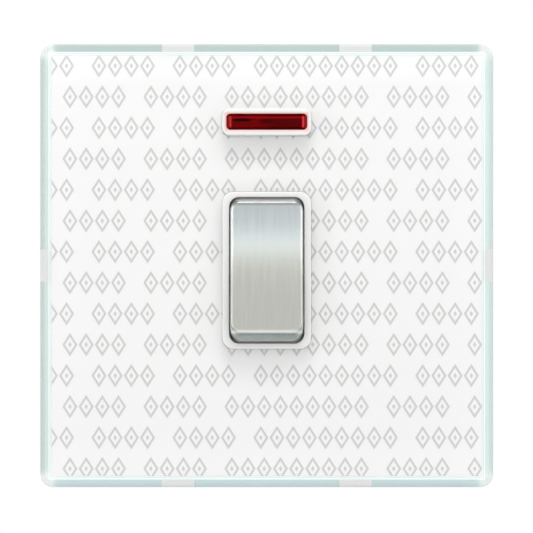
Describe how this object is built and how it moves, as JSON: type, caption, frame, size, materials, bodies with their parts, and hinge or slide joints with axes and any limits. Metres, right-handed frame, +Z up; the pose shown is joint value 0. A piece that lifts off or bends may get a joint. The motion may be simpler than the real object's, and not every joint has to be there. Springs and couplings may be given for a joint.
{
  "type": "double pole switch",
  "caption": "Wall-mounted double pole rocker switch with a clear clip-on front over a printed insert, a steel-capped rocker and a neon indicator.",
  "frame": {"origin": "midway between the two fixing screw slots, on the wall plane", "axes": "+X to the right seen from the front, +Y into the wall, +Z up"},
  "size_m": [0.09, 0.0312, 0.088],
  "materials": {
    "clear_acrylic": "clear, polished",
    "printed_paper": "white with a light grey pattern",
    "zinc_steel": "zinc plated",
    "foam": "closed cell foam",
    "white_moulding": "gloss",
    "rear_moulding": "fine texture",
    "red_lens": "translucent red, polished",
    "lamp_glass": "clear glass",
    "nickel_wire": "nickel",
    "resistor_body": "lacquered",
    "tinned_wire": "tinned",
    "brass": "machined",
    "contact_silver": "silver",
    "screw_steel": "zinc plated",
    "satin_steel": "satin, vertical grain",
    "plunger_nylon": "natural nylon",
    "spring_steel": "bright drawn wire",
    "copper_strip": "rolled copper alloy"
  },
  "bodies": {
    "housing": {"front_plate": "clear_acrylic", "wallpaper_insert": "printed_paper", "mounting_frame": "zinc_steel", "wall_gasket": "foam", "front_housing": "white_moulding", "rear_housing": "rear_moulding", "supply_end_plate": "rear_moulding", "load_end_plate": "rear_moulding", "housing_screws": "screw_steel", "neon_lens": "red_lens", "neon_lamp": "lamp_glass", "neon_electrodes": "nickel_wire", "neon_resistor": "resistor_body", "neon_leads": "tinned_wire", "neon_cover": "rear_moulding", "supply_terminal_line": "brass", "supply_terminal_neutral": "brass", "load_terminal_line": "brass", "load_terminal_neutral": "brass", "supply_strip_line": "copper_strip", "supply_strip_neutral": "copper_strip", "load_strip_line": "copper_strip", "load_strip_neutral": "copper_strip", "fixed_contact_tips": "contact_silver", "terminal_screws": "screw_steel", "earth_terminal": "brass", "earth_screw": "screw_steel"},
    "rocker": {"rocker_cap": "satin_steel", "rocker_carrier": "white_moulding", "plunger_spring_line": "spring_steel", "plunger_spring_neutral": "spring_steel"},
    "line_plunger": {"plunger_line": "plunger_nylon"},
    "neutral_plunger": {"plunger_neutral": "plunger_nylon"},
    "line_arm": {"contact_arm_line": "copper_strip", "moving_tip_line": "contact_silver"},
    "neutral_arm": {"contact_arm_neutral": "copper_strip", "moving_tip_neutral": "contact_silver"}
  },
  "joints": [
    {"name": "rocker_tilt", "type": "hinge", "parent": "housing", "child": "rocker", "pos_m": [0, -0.0024, -0.0009], "axis": [1, 0, 0], "range_deg": [0, 12]},
    {"name": "line_plunger_slide", "type": "slide", "parent": "rocker", "child": "line_plunger", "axis": [0, -0.9945, 0.1045], "range_m": [0, 0.0015], "stiffness_N_per_m": 400, "springref_m": -0.002, "deforming": ["plunger_spring_line"]},
    {"name": "line_contact_tilt", "type": "hinge", "parent": "housing", "child": "line_arm", "pos_m": [-0.0038, 0.0138, -0.0009], "axis": [1, 0, 0], "range_deg": [-9, 0]},
    {"name": "neutral_plunger_slide", "type": "slide", "parent": "rocker", "child": "neutral_plunger", "axis": [0, -0.9945, 0.1045], "range_m": [0, 0.0015], "stiffness_N_per_m": 400, "springref_m": -0.002, "deforming": ["plunger_spring_neutral"]},
    {"name": "neutral_contact_tilt", "type": "hinge", "parent": "housing", "child": "neutral_arm", "pos_m": [0.0038, 0.0138, -0.0009], "axis": [1, 0, 0], "range_deg": [-9, 0]}
  ],
  "couplings": [
    {"joint": "line_contact_tilt", "follows": "rocker_tilt", "ratio": -0.75},
    {"joint": "neutral_contact_tilt", "follows": "rocker_tilt", "ratio": -0.75}
  ]
}
